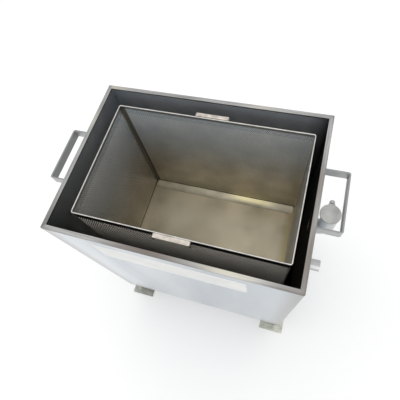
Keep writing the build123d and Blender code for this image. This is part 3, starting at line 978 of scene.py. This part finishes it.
def perforated_basket(sheet_material, floor_material, flange_material, cut_edge):
    """The basket's four sheets and its floor, with their holes, and the flange on the floor."""
    front_low, front_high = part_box("basket_front_sheet")
    _, rear_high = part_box("basket_rear_sheet")
    middle = (front_low + rear_high) / 2
    half_length = (front_high.x - front_low.x) / 2
    half_width = (rear_high.y - front_low.y) / 2
    base = front_low.z
    height = front_high.z - front_low.z
    margins = (PLAIN_SEAM, PLAIN_SEAM, PLAIN_FOOT, PLAIN_TOP)

    flat = 2 * (half_length - BASKET_BEND)
    long_width = flat + math.pi * BASKET_BEND + 2 * (BASKET_RETURN - BASKET_BEND)
    bend_start = (long_width - flat) / 2
    bend_end = bend_start - math.pi / 2 * BASKET_BEND
    plain_end = (long_width - bend_start - PLAIN_BEND, long_width - bend_end)
    front_blank = perforated_blank(long_width, height, margins, HOLE_RADIUS)
    rear_blank = perforated_blank(long_width, height, margins, HOLE_RADIUS, plain=(plain_end,))
    for name, blank, quarter_turns in (("front_sheet", front_blank, 0), ("rear_sheet", rear_blank, 2)):

        def place(x, z, depth):
            along, behind = fold(x - long_width / 2, depth, flat)
            return turned(middle, quarter_turns, along, behind - half_width, base + z)

        sheet_piece(name, blank, place, (sheet_material, cut_edge))

    short_width = 2 * (half_width - BASKET_RETURN)
    short_blank = perforated_blank(short_width, height, margins, HOLE_RADIUS)
    for name, quarter_turns in (("right_sheet", 1), ("left_sheet", 3)):

        def place(x, z, depth):
            return turned(middle, quarter_turns, x - short_width / 2, depth - half_length, base + z)

        sheet_piece(name, short_blank, place, (sheet_material, cut_edge))

    low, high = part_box("basket_floor")
    margins = (PLAIN_FOOT, PLAIN_FOOT, PLAIN_FOOT, PLAIN_FOOT)
    floor_blank = perforated_blank(
        high.x - low.x, high.y - low.y, margins, WAXED_HOLE_RADIUS, BASKET_BEND - SHEET
    )

    def place(x, y, depth):
        return (low.x + x, low.y + y, high.z - depth)

    sheet_piece("floor", floor_blank, place, (floor_material, cut_edge))

    flange_rear = high.y - FLANGE_GAP
    flange_low = Vector((low.x + BASKET_BEND, flange_rear - REAR_FLANGE, high.z))
    flange_high = Vector((high.x - BASKET_BEND, flange_rear, high.z + FLANGE_RISE))
    sloping_flange("basket_rear_flange", flange_low, flange_high, flange_material)


def rounded_outline(half_width, half_height, radius, steps):
    """The points of a rectangle with rounded corners, about its own middle."""
    outline = []
    for turn, (x_sign, y_sign) in enumerate(((1, 1), (-1, 1), (-1, -1), (1, -1))):
        for step in range(steps + 1):
            angle = math.pi / 2 * (turn + step / steps)
            x = x_sign * (half_width - radius) + radius * math.cos(angle)
            y = y_sign * (half_height - radius) + radius * math.sin(angle)
            outline.append((x, y))
    return outline


def front_film(material):
    """The bare white film on the middle of the front wall, below the rim, with rounded corners."""
    wall_low, wall_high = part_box("tank_front_wall")
    _, rim_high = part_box("rim_front_bar")
    middle_x = (wall_low.x + wall_high.x) / 2
    middle_z = rim_high.z - FILM_DROP - FILM_HEIGHT / 2
    outline = rounded_outline(FILM_LENGTH / 2, FILM_HEIGHT / 2, FILM_CORNER, BEND_STEPS)
    count = len(outline)
    points = []
    for y in (wall_low.y, wall_low.y - FILM_THICKNESS):
        points += [(middle_x + x, y, middle_z + z) for x, z in outline]
    faces = [tuple(range(count)), tuple(reversed(range(count, 2 * count)))]
    for index in range(count):
        after = (index + 1) % count
        faces.append((after, index, index + count, after + count))
    new_piece("front_white_film", points, faces, material, "tank")


def weld_bead(name, path, radius, material):
    """A rippled round bead on the tank along a closed path, half sunk into the pieces that it joins."""
    stations = []
    for index, start in enumerate(path):
        end = path[(index + 1) % len(path)]
        steps = max(1, round((end - start).length / BEAD_STEP))
        stations.extend(start.lerp(end, step / steps) for step in range(steps))
    total = len(stations)
    points = []
    faces = []
    for index, station in enumerate(stations):
        after = (index + 1) % total
        tangent = (stations[after] - stations[index - 1]).normalized()
        upright = abs(tangent.z) >= UPRIGHT_SHARE
        across = tangent.orthogonal() if upright else tangent.cross(Vector((0, 0, 1)))
        side = across.normalized()
        up = side.cross(tangent)
        phase = index * BEAD_STEP / RIPPLE_LENGTH
        ripple = RIPPLE_SHARE * abs(math.sin(math.pi * phase))
        drift = DRIFT_SHARE * math.sin(DRIFT_RATE * phase)
        swell = radius * (1 + ripple + drift)
        here = index * BEAD_SIDES
        there = after * BEAD_SIDES
        for turn in range(BEAD_SIDES):
            angle = 2 * math.pi * turn / BEAD_SIDES
            points.append(station + side * (swell * math.cos(angle)) + up * (swell * math.sin(angle)))
            turn_after = (turn + 1) % BEAD_SIDES
            faces.append((here + turn, there + turn, there + turn_after, here + turn_after))
    new_piece(name, points, faces, material, "tank", BEAD_SMOOTH_ANGLE)


def weld_the_tank(material):
    """Beads round the legs, the strap ends of the side handles, the filler pipe and the outlet tube."""
    for end in ("front", "rear"):
        for side in ("left", "right"):
            low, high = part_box(f"{end}_{side}_leg")
            middle = (low + high) / 2
            half = (high.x - low.x) / 2
            outline = rounded_outline(half, half, LEG_CORNER, LEG_CORNER_STEPS)
            for place, z in (("foot", low.z + FOOT_BEAD_RISE), ("tank", high.z - TANK_BEAD_DROP)):
                path = [Vector((middle.x + x, middle.y + y, z)) for x, y in outline]
                weld_bead(f"weld_{end}_{side}_leg_{place}", path, BEAD_RADIUS, material)

    left_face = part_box("tank_left_wall")[0].x
    right_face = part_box("tank_right_wall")[1].x
    for side, face in (("left", left_face), ("right", right_face)):
        low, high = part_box(f"{side}_handle")
        for end, y_low, y_high in (("front", low.y, low.y + STRAP), ("rear", high.y - STRAP, high.y)):
            corners = ((y_low, low.z), (y_high, low.z), (y_high, high.z), (y_low, high.z))
            path = [Vector((face, y, z)) for y, z in corners]
            weld_bead(f"weld_{side}_handle_{end}", path, STRAP_BEAD_RADIUS, material)

    outlet_low, outlet_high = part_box("outlet_tube")
    elbow_low, elbow_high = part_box("filler_elbow")
    filler_radius = (elbow_high.y - elbow_low.y) / 2
    outlet_radius = (outlet_high.z - outlet_low.z) / 2
    rings = (
        ("weld_filler_pipe", elbow_low.z + filler_radius, filler_radius),
        ("weld_outlet_tube", outlet_low.z + outlet_radius, outlet_radius),
    )
    for name, z, radius in rings:
        path = []
        for step in range(RING_STEPS):
            angle = 2 * math.pi * step / RING_STEPS
            path.append(Vector((right_face, radius * math.cos(angle), z + radius * math.sin(angle))))
        weld_bead(name, path, BEAD_RADIUS, material)


def dress_nodes(finishes):
    """Gives each carried-over node the finish of the first name part that it matches."""
    for name, node in nodes.items():
        for part, material in finishes:
            if part in name:
                node.data.materials.clear()
                node.data.materials.append(material)
                break


def place_camera():
    """The camera at the photograph's viewing angle."""
    data = bpy.data.cameras.new("camera")
    data.lens = CAMERA_LENS
    data.sensor_width = CAMERA_SENSOR
    camera = bpy.data.objects.new("camera", data)
    bpy.context.scene.collection.objects.link(camera)
    aim = (CAMERA_TARGET - CAMERA_PLACE).to_track_quat("-Z", "Y").to_matrix()
    aim = aim @ Matrix.Rotation(CAMERA_ROLL, 3, "Z")
    camera.matrix_world = Matrix.Translation(CAMERA_PLACE) @ aim.to_4x4()
    bpy.context.scene.camera = camera


def soft_lamp(name, place, target, size, power):
    """A large square lamp that faces a point."""
    data = bpy.data.lights.new(name, "AREA")
    data.shape = "SQUARE"
    data.size = size
    data.energy = power
    lamp = bpy.data.objects.new(name, data)
    bpy.context.scene.collection.objects.link(lamp)
    lamp.location = place
    lamp.rotation_euler = (Vector(target) - Vector(place)).to_track_quat("-Z", "Y").to_euler()


def light_the_studio():
    """An even pale world, white to the eye and to the metal, one large soft lamp, and the floor."""
    world = bpy.data.worlds.new("studio")
    bpy.context.scene.world = world
    world.use_nodes = True
    tree = world.node_tree
    tree.nodes.clear()
    seen = seen_directly(tree)
    strength = add(tree, "MapRange", {"Value": seen, "To Min": WORLD_STRENGTH, "To Max": 1.0})
    sky = add(tree, "Background", {"Color": (1, 1, 1, 1), "Strength": strength})
    add(tree, "OutputWorld", {"Surface": sky})

    soft_lamp("large soft lamp", LAMP_PLACE, LAMP_TARGET, LAMP_SIZE, LAMP_POWER)

    half = FLOOR_HALF
    corners = [(-half, -half, 0), (half, -half, 0), (half, half, 0), (-half, half, 0)]
    mesh = bpy.data.meshes.new("floor")
    mesh.from_pydata(corners, [], [(0, 1, 2, 3)])
    mesh.materials.append(pale_studio_floor())
    floor = bpy.data.objects.new("floor", mesh)
    bpy.context.scene.collection.objects.link(floor)


tank_low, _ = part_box("tank_front_wall")
_, tank_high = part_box("tank_rear_wall")
tank_centre = (tank_low + tank_high) / 2
tank_half = (tank_high - tank_low) / 2
basket_low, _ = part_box("basket_front_sheet")
_, basket_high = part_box("basket_rear_sheet")

rim_bars = [
    (f"rim_{side}", ground_flat_bar(side, along, tank_centre, tank_half["XYZ".index(along)], places))
    for side, along, places in RIM_HEAT
]
plate = pickled_plate("grey", "#9C9D96", "#787A74")
inside_steel = browned_inside_steel()
dress_nodes(
    (
        *rim_bars,
        ("basket_bar", inside_steel),
        ("basket_rim_wire", drawn_wire()),
        ("basket_", scoured_strap()),
        ("tank_", cold_rolled_stainless(tank_low, tank_high)),
        ("tray_", inside_steel),
        # Painted light: the front right foot plate gets a paler copy of the plate's finish
        ("front_right_foot_plate", pickled_plate("pale", "#D6D6CA", "#A6A89F")),
        ("_leg", plate),
        ("_foot_plate", plate),
        ("_handle", satin_strap()),
        ("filler_elbow", satin_tube()),
        ("outlet_tube", limed_tube()),
        ("lid", satin_disc()),
    )
)
perforated_basket(
    waxed_perforated_sheet(basket_low, basket_high),
    waxed_floor_sheet(*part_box("basket_floor")),
    waxed_flange(basket_low, basket_high),
    punched_edge(basket_low, basket_high),
)
front_film(white_vinyl_film())
weld_the_tank(heat_tinted_weld())
place_camera()
light_the_studio()
bpy.context.scene.view_settings.view_transform = "Standard"
